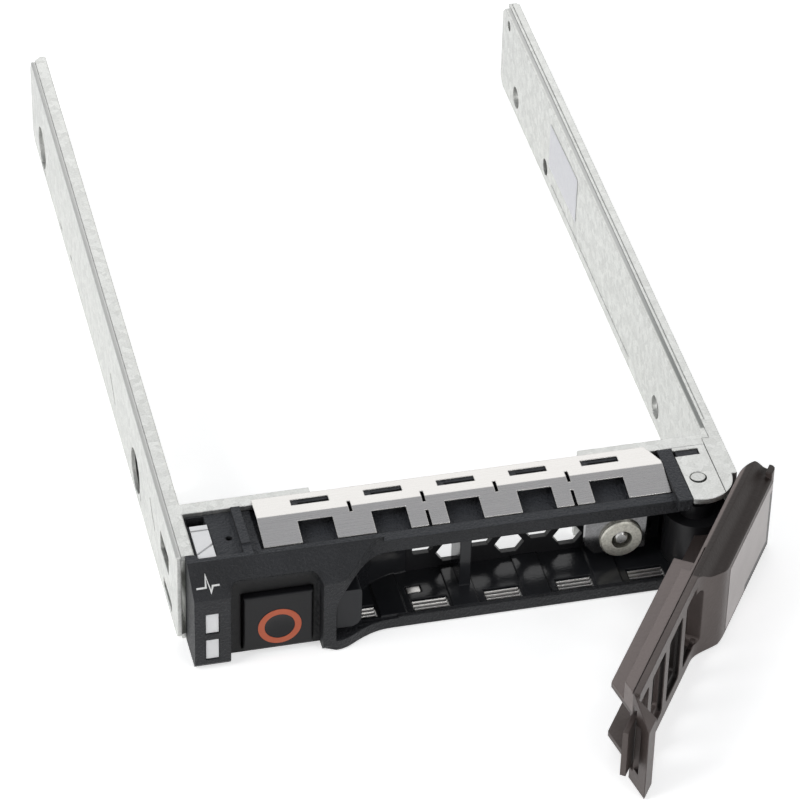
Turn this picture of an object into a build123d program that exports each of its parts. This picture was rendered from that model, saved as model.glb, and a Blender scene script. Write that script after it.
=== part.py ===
from build123d import *
import math
import os

os.makedirs("parts", exist_ok=True)

# Hot swap tray for a 2.5 inch drive, millimetres.
# x runs across the tray, y runs from the handle back along the rails, z is up.
# The origin lies between the rails at the rear face of the front cross web.

# Drive and rails
drive_width = 69.85
drive_side_gap = 0.175
tray_height = 14.0
rail_length = 105.5
rail_sheet = 0.8
rail_flange = 1.6
skin_sheet = 0.55
channel_sheet = 0.6
seam = 0.05
bend_radius = 0.4
rail_inner = drive_width / 2 + drive_side_gap
rail_outer = rail_inner + rail_sheet
tray_half_width = rail_outer + rail_flange
flange_front = 10.1
side_plate_front = 10.5
web_left_reach = rail_inner - 17.0
web_right_reach = rail_inner - 17.05
web_tab_depth = 2.0
plate_edge = rail_inner - 0.25

# Drive screw holes, spacing of the small form factor drive pattern
screw_spacing = 76.6
screw_rear_gap = 9.1
screw_middle_y = rail_length - screw_rear_gap - screw_spacing / 2
screw_height = 3.0
screw_hole_radius = 1.7
screw_access_radius = 3.2

# Lever pivot
pivot_x = plate_edge - 2.65
pivot_y = -8.5
pin_radius = 1.5
pin_spigot_radius = 1.15
pin_clearance = 0.05
hub_radius = 4.2
hub_top = 8.2
plate_arc_radius = 4.5
floor_arc_radius = 5.2
open_angle = 56.0

# Bezel
front_y = -16.4
knee_height = 11.5
ridge_y = -11.7
ridge_depth = 0.7
bezel_left = 1.1 - tray_half_width
bezel_side_gap = 0.15
web_gap = 0.1
post_right = 17.2 - rail_inner
post_left = post_right - 1.7
beam_front_y = -11.6
beam_top = 13.2
floor_front_y = -13.7
floor_top = 1.5
roof_bottom = 11.2
roof_top = 12.4
rib_left = pivot_x - 3.8
rib_right = pivot_x - 1.9
top_plate_height = 13.4

# Button and latch
button_left = 5.3 - rail_inner
button_right = 14.4 - rail_inner
button_bottom = 0.8
button_top = 9.7
button_face_y = -15.2
button_gap = 0.2
nose_tip = post_right + 3.6

# Grille
grille_left = 29.1 - rail_inner
grille_right = rail_inner - 15.3
grille_front_y = -4.9
grille_sheet = 0.8
cell_pitch_x = 3.97
cell_width = 4.1
cell_height = 3.0
cell_pitch_z = 3.6

# Spring strips
strip_sheet = 0.2
strip_rear_y = -5.1
strip_left = 9.1 - rail_inner
strip_right = rib_left - 0.1
pad_count = 6
pad_width = 5.1
pad_pitch = (strip_right - 0.6 - pad_width - strip_left) / (pad_count - 1)
first_finger = strip_left + 12.0

# Lever, sizes in its own frame with the pivot at the origin and the handle shut
skin_front = -6.0
skin_inner = -4.8
rim_inner = -3.5
flange_inner = -1.1
bulge_front = -8.6
bulge_inner = -4.7
bulge_left = -19.6
bulge_slope_end = -13.0
lever_right = 6.9
lever_reach = pivot_x - nose_tip
flange_left = 8.0 - lever_reach
flange_right = -13.2
lever_flange_top = 11.0
lever_flange_sheet = 0.8
lever_flange_bottom = 1.9

# Bush and its bracket
bush_x = pivot_x - 10.1
bush_z = 5.6
bush_barrel_radius = 1.9
bush_bore_radius = 1.4
bracket_front_y = -8.6
bracket_right = bush_x + 3.8


def block(x0, x1, y0, y1, z0, z1, mode=Mode.ADD):
    """Rectangular block between two corners, in the frame of the open builder."""
    with Locations(((x0 + x1) / 2, (y0 + y1) / 2, (z0 + z1) / 2)):
        Box(abs(x1 - x0), abs(y1 - y0), abs(z1 - z0), mode=mode)


def rod_y(x, z, radius, y0, y1, mode=Mode.ADD):
    """Round bar along y."""
    with Locations(Location((x, (y0 + y1) / 2, z), (90, 0, 0))):
        Cylinder(radius, abs(y1 - y0), mode=mode)


def rod_x(y, z, radius, x0, x1, mode=Mode.ADD):
    """Round bar along x."""
    with Locations(Location(((x0 + x1) / 2, y, z), (0, 90, 0))):
        Cylinder(radius, abs(x1 - x0), mode=mode)


def rod_z(x, y, radius, z0, z1, mode=Mode.ADD):
    """Round bar along z."""
    with Locations((x, y, (z0 + z1) / 2)):
        Cylinder(radius, abs(z1 - z0), mode=mode)


screw_ys = [screw_middle_y - screw_spacing / 2, screw_middle_y + screw_spacing / 2]
rivet_xs = [4.6 - rail_inner, 13.1 - rail_inner, rail_inner - 13.3, rail_inner - 2.9]
rivet_height = 9.4
rivet_radius = 1.1
rivet_head_radius = 1.8
rivet_depth = 2.0

# Left rail: drive wall with flanges folded outward and a cross web folded inward
flange_edge = tray_half_width - skin_sheet - seam
with BuildPart() as rail_left:
    with BuildSketch(Plane.XZ.offset(-rail_length)):
        with BuildLine():
            Polyline(
                (-rail_inner, 0),
                (-rail_inner, tray_height),
                (-flange_edge, tray_height),
                (-flange_edge, tray_height - rail_sheet),
                (-rail_outer, tray_height - rail_sheet),
                (-rail_outer, rail_sheet),
                (-flange_edge, rail_sheet),
                (-flange_edge, 0),
                close=True,
            )
        make_face()
    extrude(amount=rail_length + flange_front)
    bends = rail_left.edges().filter_by(Axis.Y).group_by(Axis.X)[-1]
    fillet(bends, bend_radius)
    # cross web with its top tab
    block(-rail_outer, -web_left_reach, -rail_sheet, 0, 0.0, tray_height)
    block(-rail_outer, -web_left_reach, -web_tab_depth, 0, tray_height - rail_sheet, tray_height)
    # lead-in at the rear of the flanges
    rear_corners = rail_left.edges().filter_by(Axis.Z).group_by(Axis.Y)[-1]
    chamfer(rear_corners.group_by(Axis.X)[0], 0.9)
    # drive screw holes
    for hole_y in screw_ys:
        rod_x(hole_y, screw_height, screw_hole_radius, -rail_outer - 0.1, -rail_inner + 0.1, Mode.SUBTRACT)
    # countersunk rivet holes in the web
    for hole_x in rivet_xs[:2]:
        rod_y(hole_x, rivet_height, rivet_radius, -rail_sheet, 0, Mode.SUBTRACT)
        with Locations(Location((hole_x, -0.3, rivet_height), (-90, 0, 0))):
            Cone(rivet_radius, rivet_head_radius, 0.6, mode=Mode.SUBTRACT)
rail_left.part.label = "rail_left"
export_step(rail_left.part, "parts/rail_left.step")

# Left side plate: outer skin with stamped lances, two front windows and screw access holes
with BuildPart() as side_plate_left:
    with BuildSketch(Plane.YZ.offset(-tray_half_width)):
        with BuildLine():
            Polyline(
                (-side_plate_front, 0.9),
                (-side_plate_front, tray_height),
                (rail_length - 1.2, tray_height),
                (rail_length, tray_height - 1.6),
                (rail_length, 1.6),
                (rail_length - 1.2, 0),
                (-side_plate_front + 0.9, 0),
                close=True,
            )
        make_face()
        # front windows
        with Locations((-1.5, 7.45)):
            RectangleRounded(6.0, 3.1, 0.5, mode=Mode.SUBTRACT)
        with Locations((-3.35, 1.9)):
            RectangleRounded(5.9, 1.5, 0.4, mode=Mode.SUBTRACT)
        # curved lances
        for lance_y, lance_z in ((37.0, 4.6), (17.6, 3.3), (7.2, 6.8)):
            with Locations(Location((lance_y, lance_z), 40)):
                SlotOverall(4.6, 0.7, mode=Mode.SUBTRACT)
        # slits beside the lower edge
        for slit_gap, slit_z, slit_length in ((10.0, 0.9, 4.0), (25.3, 1.3, 2.3), (34.1, 1.9, 1.6)):
            with Locations((rail_length - slit_gap, slit_z)):
                SlotOverall(slit_length, 0.5, mode=Mode.SUBTRACT)
        for hole_y in screw_ys:
            with Locations((hole_y, screw_height + 1.0)):
                Circle(screw_access_radius, mode=Mode.SUBTRACT)
    extrude(amount=skin_sheet)
side_plate_left.part.label = "side_plate_left"
export_step(side_plate_left.part, "parts/side_plate_left.step")

# Right rail: flat drive wall with a cross web folded inward
with BuildPart() as rail_right:
    block(rail_inner, rail_outer, -rail_sheet, rail_length, 0, tray_height)
    block(web_right_reach, rail_outer, -rail_sheet, 0, 0, tray_height)
    block(web_right_reach, plate_edge + seam, -web_tab_depth, 0, tray_height - rail_sheet, tray_height)
    # notch in the lower edge of the web, behind the slots of the bezel
    block(bracket_right + 0.2, bracket_right + 2.9, -rail_sheet - 0.1, 0.1, -0.1, 3.4, Mode.SUBTRACT)
    rear_edges = rail_right.edges().filter_by(Axis.X).group_by(Axis.Y)[-1]
    chamfer(rear_edges, 1.2)
    # raised coin line near the lower edge
    block(rail_inner - 0.1, rail_inner, 33.0, rail_length - 30.5, 1.3, 1.7)
    for hole_y in screw_ys:
        rod_x(hole_y, screw_height, screw_hole_radius, rail_inner - 0.2, rail_outer + 0.1, Mode.SUBTRACT)
    # spare hole and tooling hole
    rod_x(rail_length - 26.6, 2.3, 1.3, rail_inner - 0.2, rail_outer + 0.1, Mode.SUBTRACT)
    rod_x(rail_length - 3.6, 12.4, 0.8, rail_inner - 0.2, rail_outer + 0.1, Mode.SUBTRACT)
    for hole_x in rivet_xs[2:]:
        rod_y(hole_x, rivet_height, rivet_radius, -rail_sheet, 0, Mode.SUBTRACT)
        with Locations(Location((hole_x, -0.3, rivet_height), (-90, 0, 0))):
            Cone(rivet_radius, rivet_head_radius, 0.6, mode=Mode.SUBTRACT)
rail_right.part.label = "rail_right"
export_step(rail_right.part, "parts/rail_right.step")

# Right side channel: flange beside the drive wall and outer wall, rounded around the pivot
channel_inner = rail_outer + seam
channel_front_y = pivot_y
with BuildPart() as side_channel_right:
    # outer wall
    block(
        tray_half_width - channel_sheet, tray_half_width,
        channel_front_y, rail_length, 0, tray_height,
    )
    # top flange beside the drive wall, then the wider part beside the pivot plate
    with BuildSketch(Plane.XY.offset(tray_height - channel_sheet)):
        with BuildLine():
            Polyline(
                (channel_inner, rail_length),
                (tray_half_width, rail_length),
                (tray_half_width, channel_front_y),
                (tray_half_width, -14.0),
                (plate_edge + 0.1, -14.0),
                (plate_edge + 0.1, -rail_sheet - seam),
                (channel_inner, -rail_sheet - seam),
                close=True,
            )
        make_face()
        with BuildSketch(mode=Mode.PRIVATE) as round_front:
            with Locations((pivot_x, pivot_y)):
                Circle(plate_arc_radius)
            with Locations((pivot_x, pivot_y + rail_length)):
                Rectangle(tray_half_width, 2 * rail_length)
        add(round_front.sketch, mode=Mode.INTERSECT)
    extrude(amount=channel_sheet)
    block(channel_inner, tray_half_width, 0.2, rail_length, 0, channel_sheet)
    lead_in = side_channel_right.edges().filter_by(Axis.Z).group_by(Axis.Y)[-1]
    chamfer(lead_in.group_by(Axis.X)[-1], 0.5)
    # fold line along the flange
    block(
        channel_inner + 0.4, channel_inner + 0.52, 3.0, rail_length + 1,
        tray_height - 0.15, tray_height + 0.1, Mode.SUBTRACT,
    )
    for hole_y in screw_ys:
        rod_x(
            hole_y, screw_height + 1.0, screw_access_radius,
            tray_half_width - channel_sheet - 0.1, tray_half_width + 0.1, Mode.SUBTRACT,
        )
side_channel_right.part.label = "side_channel_right"
export_step(side_channel_right.part, "parts/side_channel_right.step")

# Pivot plate: steel corner plate with a slot, a leg folded down at the rear
with BuildPart() as pivot_plate:
    with BuildSketch(Plane.XY.offset(tray_height - rail_sheet)):
        with BuildLine():
            Polyline(
                (rib_right + 0.1, -web_tab_depth - seam),
                (plate_edge, -web_tab_depth - seam),
                (plate_edge, -14.0),
                (rib_right + 0.1, -14.0),
                close=True,
            )
        make_face()
        with BuildSketch(mode=Mode.PRIVATE) as plate_front:
            with Locations((pivot_x, pivot_y)):
                Circle(plate_arc_radius)
            with Locations((pivot_x, pivot_y + 10)):
                Rectangle(20, 20)
        add(plate_front.sketch, mode=Mode.INTERSECT)
        with Locations((plate_edge - 2.75, -3.25)):
            Rectangle(3.4, 1.3, mode=Mode.SUBTRACT)
        with Locations((pivot_x, pivot_y)):
            Circle(pin_spigot_radius, mode=Mode.SUBTRACT)
    extrude(amount=rail_sheet)
    block(plate_edge - rail_sheet, plate_edge, -4.1, -rail_sheet - seam, 2.0, tray_height - rail_sheet)
pivot_plate.part.label = "pivot_plate"
export_step(pivot_plate.part, "parts/pivot_plate.step")

# Bezel: moulded front with floor, roof, window, button recess and lamp windows
bezel_rear_y = -rail_sheet - web_gap
bezel_inner_left = -rail_inner + bezel_side_gap
recess_corner = 1.3
recess_back_y = -14.2
recess_top = 12.45
recess_left = 3.4 - rail_inner
cavity_front_y = -13.6
lamp_x0 = bezel_left + 1.4
lamp_x1 = lamp_x0 + 1.8
lamp_gap = 0.08
pipe_right = lamp_x0 + 2.6
with BuildPart() as button_recess:
    with BuildSketch(Plane.XZ.offset(-front_y + 1)):
        with Locations(((recess_left + post_left) / 2, 0)):
            RectangleRounded(post_left - recess_left, 2 * recess_top, recess_corner)
    extrude(amount=-5.0)
    with BuildSketch(Plane.YZ.offset(recess_left)):
        with BuildLine():
            Polyline(
                (front_y - 1, -1),
                (recess_back_y, -1),
                (recess_back_y, recess_top),
                (front_y - 1, recess_top),
                close=True,
            )
        make_face()
    extrude(amount=post_left - recess_left, mode=Mode.INTERSECT)

with BuildPart() as bezel:
    # body with the S shaped step from the button block to the upper beam
    with BuildSketch(Plane.XY):
        with BuildLine():
            Line((bezel_left, front_y), (post_right, front_y))
            Spline(
                (post_right, front_y),
                (post_right + 2.3, -15.3),
                (post_right + 5.0, -12.7),
                (post_right + 8.1, beam_front_y),
                tangents=((1, 0), (1, 0)),
            )
            Polyline(
                (post_right + 8.1, beam_front_y),
                (rib_right, beam_front_y),
                (rib_right, bezel_rear_y),
                (bezel_inner_left, bezel_rear_y),
                (bezel_inner_left, -flange_front - 0.2),
                (bezel_left, -flange_front - 0.2),
                (bezel_left, front_y),
            )
        make_face()
    extrude(amount=tray_height)
    # rear wall behind the pivot
    block(rib_right, plate_edge - rail_sheet - web_gap, -3.8, bezel_rear_y, 0, beam_top - web_gap)
    # slanted upper face
    with BuildSketch(Plane.YZ.offset(bezel_left - 1)):
        with BuildLine():
            Polyline(
                (front_y, knee_height),
                (ridge_y, tray_height),
                (front_y - 1, tray_height + 1),
                (front_y - 1, knee_height - 0.53),
                close=True,
            )
        make_face()
    extrude(amount=post_right + 10.5 - (bezel_left - 1), mode=Mode.SUBTRACT)
    # lower bevel of the button block
    with BuildSketch(Plane.YZ.offset(bezel_left - 1)):
        with BuildLine():
            Polyline((front_y - 0.1, -0.1), (front_y + 0.7, -0.1), (front_y - 0.1, 0.9), close=True)
        make_face()
    extrude(amount=post_right + 4.5 - (bezel_left - 1), mode=Mode.SUBTRACT)
    # steps of the top
    block(
        bezel_inner_left - 0.01, strip_left - 2.9, ridge_y + ridge_depth, bezel_rear_y,
        top_plate_height, tray_height + 1, Mode.SUBTRACT,
    )
    block(
        strip_left - 1.7, rib_left, ridge_y + 0.05, bezel_rear_y,
        beam_top, tray_height + 1, Mode.SUBTRACT,
    )
    block(strip_left - 0.4, rib_left, -10.0, bezel_rear_y, roof_top, tray_height, Mode.SUBTRACT)
    block(
        -tray_half_width, tray_half_width, -web_tab_depth - web_gap, 0,
        beam_top - web_gap, tray_height + 1, Mode.SUBTRACT,
    )
    # ridge beside the top plate, highest at its rear
    block(
        strip_left - 2.9, strip_left - 1.7, -9.4, -web_tab_depth - web_gap,
        tray_height - 0.1, tray_height + 0.2,
    )
    # wall behind the slots of the upper spring strip
    block(
        strip_left + 0.3, strip_right - 1.8, -2.75, -web_tab_depth - web_gap,
        roof_top - 0.1, tray_height - 0.05,
    )
    # window opening with its rounded upper corner
    with BuildSketch(Plane.XZ.offset(12.0)):
        with BuildLine():
            Polyline(
                (post_right, 0.0),
                (post_right, roof_bottom),
                (rib_right + 5, roof_bottom),
                (rib_right + 5, 0.0),
                close=True,
            )
        make_face()
        arch_corner = vertices().group_by(Axis.X)[0].sort_by(Axis.Y)[-1]
        fillet(arch_corner, 4.6)
    extrude(amount=10.0, mode=Mode.SUBTRACT)
    # hollow behind the window with its concave left wall
    with BuildSketch(Plane.XY.offset(floor_top)):
        with BuildLine():
            Line((post_right + 1.1, -12.6), (post_right + 1.1, -12.0))
            Spline(
                (post_right + 1.1, -12.0),
                (post_right + 3.9, -8.4),
                (post_right + 7.9, -5.9),
                (grille_left + 2.5, grille_front_y),
            )
            Polyline(
                (grille_left + 2.5, grille_front_y),
                (grille_right - 0.2, grille_front_y),
                (grille_right - 0.2, -2.6),
                (bracket_right + 0.2, -2.6),
                (bracket_right + 0.2, grille_front_y),
                (bracket_right + 2.7, grille_front_y),
                (bracket_right + 2.7, -3.8),
                (rib_right + 0.01, -3.8),
                (rib_right + 0.01, -12.6),
                (post_right + 1.1, -12.6),
            )
        make_face()
    extrude(amount=roof_bottom - floor_top, mode=Mode.SUBTRACT)
    # grille pocket and the clear way behind it
    block(
        grille_left, grille_right, grille_front_y - 0.01, grille_front_y + grille_sheet,
        floor_top, roof_bottom, Mode.SUBTRACT,
    )
    block(
        grille_left + 0.6, grille_right - 0.6, grille_front_y, 0,
        floor_top + 0.4, roof_bottom - 0.4, Mode.SUBTRACT,
    )
    # slots beside the bracket and the room behind them, open below
    block(
        bracket_right + 0.3, bracket_right + 2.5, grille_front_y + 0.8, bezel_rear_y - 0.01,
        -0.1, 7.4, Mode.SUBTRACT,
    )
    for slot_low, slot_high in ((5.1, 6.2), (3.0, 4.5), (2.2, 2.5)):
        block(
            bracket_right + 0.4, bracket_right + 1.5, grille_front_y - 0.1, grille_front_y + 0.9,
            slot_low, slot_high, Mode.SUBTRACT,
        )
    # floor with the S shaped front beam, rounded around the pivot
    with BuildSketch(Plane.XY) as floor_plan:
        with BuildLine():
            Line((post_right - 1.5, front_y + 0.7), (post_right, front_y))
            Spline(
                (post_right, front_y),
                (post_right + 3.1, -15.2),
                (post_right + 6.0, -13.95),
                (post_right + 8.9, floor_front_y),
                tangents=((1, 0), (1, 0)),
            )
            Line((post_right + 8.9, floor_front_y), (pivot_x, pivot_y - floor_arc_radius))
            ThreePointArc(
                (pivot_x, pivot_y - floor_arc_radius),
                (
                    pivot_x + floor_arc_radius * math.sin(math.radians(30)),
                    pivot_y - floor_arc_radius * math.cos(math.radians(30)),
                ),
                (
                    pivot_x + floor_arc_radius * math.sin(math.radians(60)),
                    pivot_y - floor_arc_radius * math.cos(math.radians(60)),
                ),
            )
            Polyline(
                (
                    pivot_x + floor_arc_radius * math.sin(math.radians(60)),
                    pivot_y - floor_arc_radius * math.cos(math.radians(60)),
                ),
                (tray_half_width - channel_sheet - 0.15, -10.2),
                (tray_half_width - channel_sheet - 0.15, -4.3),
                (plate_edge - 0.05, -4.3),
                (plate_edge - rail_sheet - web_gap, -4.3),
                (plate_edge - rail_sheet - web_gap, bezel_rear_y),
                (post_right - 1.5, bezel_rear_y),
                (post_right - 1.5, front_y + 0.7),
            )
        make_face()
    extrude(amount=floor_top)
    # front lip of the floor
    block(post_right + 8.9, rib_left - 0.4, floor_front_y, floor_front_y + 0.6, floor_top, floor_top + 0.2)
    # raised strips between the finger slots
    for strip_index in range(4):
        strip_x = first_finger + 2.78 + pad_pitch * strip_index
        block(
            strip_x, strip_x + pad_pitch - 6.22, floor_front_y + 0.6, grille_front_y,
            floor_top, floor_top + 0.25,
        )
    # floor open behind the grille
    block(
        grille_left + 0.6, grille_right - 0.6, grille_front_y + grille_sheet + 0.1, 0,
        -0.1, floor_top + 0.5, Mode.SUBTRACT,
    )
    # upright post in the window
    block(grille_left + 6.1, grille_left + 7.6, pivot_y - 0.9, grille_front_y, floor_top, roof_bottom)
    # upper rib beside the pivot plate
    block(rib_left, rib_right, -12.7, beam_front_y, roof_top - 0.1, tray_height)
    # supports under the upper spring strip
    for support_index in range(5):
        support_x = strip_left + 2.8 + pad_pitch * support_index
        block(support_x, support_x + 3.0, -4.7, -2.3, roof_top, tray_height)
    block(rib_right + 0.4, rib_right + 3.4, -3.8, -2.7, beam_top - 0.2, tray_height - 0.2)
    # left pocket and screw dimple in the top plate
    block(
        bezel_left + 1.5, bezel_left + 3.9, -4.0, -2.3,
        top_plate_height - 2.2, tray_height, Mode.SUBTRACT,
    )
    rod_z(bezel_left + 6.3, -7.2, 0.45, top_plate_height - 1.5, tray_height, Mode.SUBTRACT)
    # recess around the button, cut down through the slanted face
    add(button_recess.part, mode=Mode.SUBTRACT)
    # hole for the button and the room behind it
    block(
        button_left - button_gap, button_right + button_gap, -15.1, -9.5,
        button_bottom - button_gap, button_top + button_gap, Mode.SUBTRACT,
    )
    block(button_left - 1.1, button_right + 0.8, cavity_front_y, -9.4, 0.6, 10.6, Mode.SUBTRACT)
    # way for the latch and its nose
    block(post_left - 0.35, nose_tip + 0.15, -12.7, -9.4, 2.4, 9.0, Mode.SUBTRACT)
    block(post_left + 0.65, nose_tip + 0.15, -15.4, -12.6, 2.4, 9.0, Mode.SUBTRACT)
    # lamp windows and the channels of the light pipes
    block(lamp_x0, lamp_x1, front_y - 0.1, -5.2, 5.8, 9.1, Mode.SUBTRACT)
    block(lamp_x0, lamp_x1, front_y - 0.1, -4.1, 1.45, 4.8, Mode.SUBTRACT)
    block(lamp_x0 + 0.2, pipe_right + 0.1, -11.0, -5.2, 5.8, tray_height + 1, Mode.SUBTRACT)
    block(lamp_x0 + 0.2, pipe_right + 0.1, -5.1, -4.1, 1.45, tray_height + 1, Mode.SUBTRACT)
    # recess below the floor for the lower spring strip, and the finger slots
    block(post_right + 0.7, rib_left + 0.6, -12.9, strip_rear_y + 0.3, -0.1, 0.8, Mode.SUBTRACT)
    for slot_index in range(pad_count - 1):
        slot_x = first_finger + pad_pitch * slot_index
        block(slot_x - 2.4, slot_x + 2.4, -12.8, -10.5, 0.5, 2.5, Mode.SUBTRACT)
    block(first_finger + 7.1, first_finger + 9.2, -9.25, -7.85, 0.5, 2.5, Mode.SUBTRACT)
    # lever pin seat, stud seat and rivet holes
    rod_z(pivot_x, pivot_y, pin_radius, 0.3, floor_top + 0.5, Mode.SUBTRACT)
    rod_y(bush_x, bush_z, 0.95, -1.6, -2.7, Mode.SUBTRACT)
    for hole_x in rivet_xs:
        rod_y(hole_x, rivet_height, rivet_radius, bezel_rear_y - rivet_depth, 0, Mode.SUBTRACT)
bezel.part.label = "bezel"
export_step(bezel.part, "parts/bezel.step")

# Vent grille: plate with elongated hexagons in staggered columns
grille_z0 = floor_top
grille_z1 = roof_bottom
cell_columns = int((grille_right - grille_left) / cell_pitch_x)
with BuildPart() as vent_grille:
    block(grille_left, grille_right, grille_front_y, grille_front_y + grille_sheet, grille_z0, grille_z1)
    with BuildSketch(Plane.XZ.offset(-grille_front_y)):
        for column in range(cell_columns):
            for row in range(3):
                cell_x = grille_left + 2.05 + column * cell_pitch_x
                cell_z = 3.9 + cell_pitch_z * row + ((column + 1) % 2) * cell_pitch_z / 2
                with Locations((cell_x, cell_z)):
                    Polygon(
                        (-cell_width / 2, 0),
                        (-cell_width / 4, cell_height / 2),
                        (cell_width / 4, cell_height / 2),
                        (cell_width / 2, 0),
                        (cell_width / 4, -cell_height / 2),
                        (-cell_width / 4, -cell_height / 2),
                        align=None,
                    )
        with BuildSketch(mode=Mode.PRIVATE) as grille_frame:
            with Locations(((grille_left + grille_right) / 2, 6.5)):
                Rectangle(grille_right - grille_left - 1.6, 8.2)
        add(grille_frame.sketch, mode=Mode.INTERSECT)
    extrude(amount=-grille_sheet, mode=Mode.SUBTRACT)
vent_grille.part.label = "vent_grille"
export_step(vent_grille.part, "parts/vent_grille.step")

# Upper spring strip: thin sheet folded over the beam, six pads with notches between
strip_top = tray_height + strip_sheet
with BuildPart() as emi_strip_top:
    with BuildSketch(Plane.YZ.offset(strip_left)):
        with BuildLine():
            Polyline(
                (-1.2, tray_height),
                (-1.2, strip_top),
                (-5.0, strip_top),
                (-9.6, 13.15),
                (-9.85, 12.55),
                (-9.66, 12.5),
                (-9.45, 12.96),
                (-4.97, tray_height),
                close=True,
            )
        make_face()
    extrude(amount=strip_right - strip_left)
    for pad_index in range(pad_count - 1):
        notch_x = strip_left + pad_width + pad_pitch * pad_index
        notch_end = notch_x + pad_pitch - pad_width
        block(notch_x, notch_end, -10.5, -6.2, 11.0, 15.0, Mode.SUBTRACT)
        block(notch_x - 0.2, notch_end + 0.2, -3.4, -2.3, 13.0, 15.0, Mode.SUBTRACT)
    # slits across the fold and in two of the pads
    for slit_index in range(1, pad_count - 1):
        slit_x = strip_left + pad_width / 2 + pad_pitch * slit_index
        block(slit_x - 0.22, slit_x + 0.22, -5.9, -4.0, 13.0, 15.0, Mode.SUBTRACT)
        if slit_index % 2 == 0:
            block(slit_x - 0.22, slit_x + 0.22, -10.5, -7.2, 11.0, 15.0, Mode.SUBTRACT)
    # cut corner at the right end
    with BuildSketch(Plane.XY.offset(15.0)):
        with BuildLine():
            Polyline(
                (strip_right - 1.6, -1.0),
                (strip_right + 0.1, -4.6),
                (strip_right + 0.1, -1.0),
                close=True,
            )
        make_face()
    extrude(amount=-3.0, mode=Mode.SUBTRACT)
emi_strip_top.part.label = "emi_strip_top"
export_step(emi_strip_top.part, "parts/emi_strip_top.step")

# Lower spring strip: sheet below the floor, ribbed fingers standing in the slots
with BuildPart() as emi_strip_bottom:
    block(post_right + 1.3, rib_left, -10.2, strip_rear_y, 0.3, 0.3 + strip_sheet)
    block(post_right + 1.3, rib_left, strip_rear_y - 0.8, strip_rear_y, 0.3, 0.8)
    # raised pad in the small slot
    block(first_finger + 7.25, first_finger + 9.05, -9.1, -8.0, 0.3, 1.4)
    for finger_index in range(pad_count - 1):
        finger_x = first_finger + pad_pitch * finger_index
        with BuildSketch(Plane.YZ.offset(finger_x - 2.3)):
            with BuildLine():
                Polyline(
                    (-10.0, 0.3),
                    (-10.0, 0.5),
                    (-10.5, 0.6),
                    (-10.85, 1.4),
                    (-11.2, 0.75),
                    (-11.55, 1.4),
                    (-11.9, 0.75),
                    (-12.25, 1.4),
                    (-12.65, 0.65),
                    (-12.65, 0.35),
                    (-12.25, 1.08),
                    (-11.9, 0.43),
                    (-11.55, 1.08),
                    (-11.2, 0.43),
                    (-10.85, 1.08),
                    (-10.55, 0.3),
                    close=True,
                )
            make_face()
        extrude(amount=4.6)
emi_strip_bottom.part.label = "emi_strip_bottom"
export_step(emi_strip_bottom.part, "parts/emi_strip_bottom.step")

# Lever frame: origin on the pivot axis, x along the shut handle, turned by the open angle
turn = math.radians(open_angle)
lever_x = (math.cos(turn), math.sin(turn), 0)
lever_y = (-math.sin(turn), math.cos(turn), 0)
lever_plan = Plane(origin=(pivot_x, pivot_y, 0), x_dir=lever_x, z_dir=(0, 0, 1))
lever_face = Plane(origin=(pivot_x, pivot_y, 0), x_dir=lever_x, z_dir=(math.sin(turn), -math.cos(turn), 0))
lever_section = Plane(origin=(pivot_x, pivot_y, 0), x_dir=lever_y, z_dir=lever_x)

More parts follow.
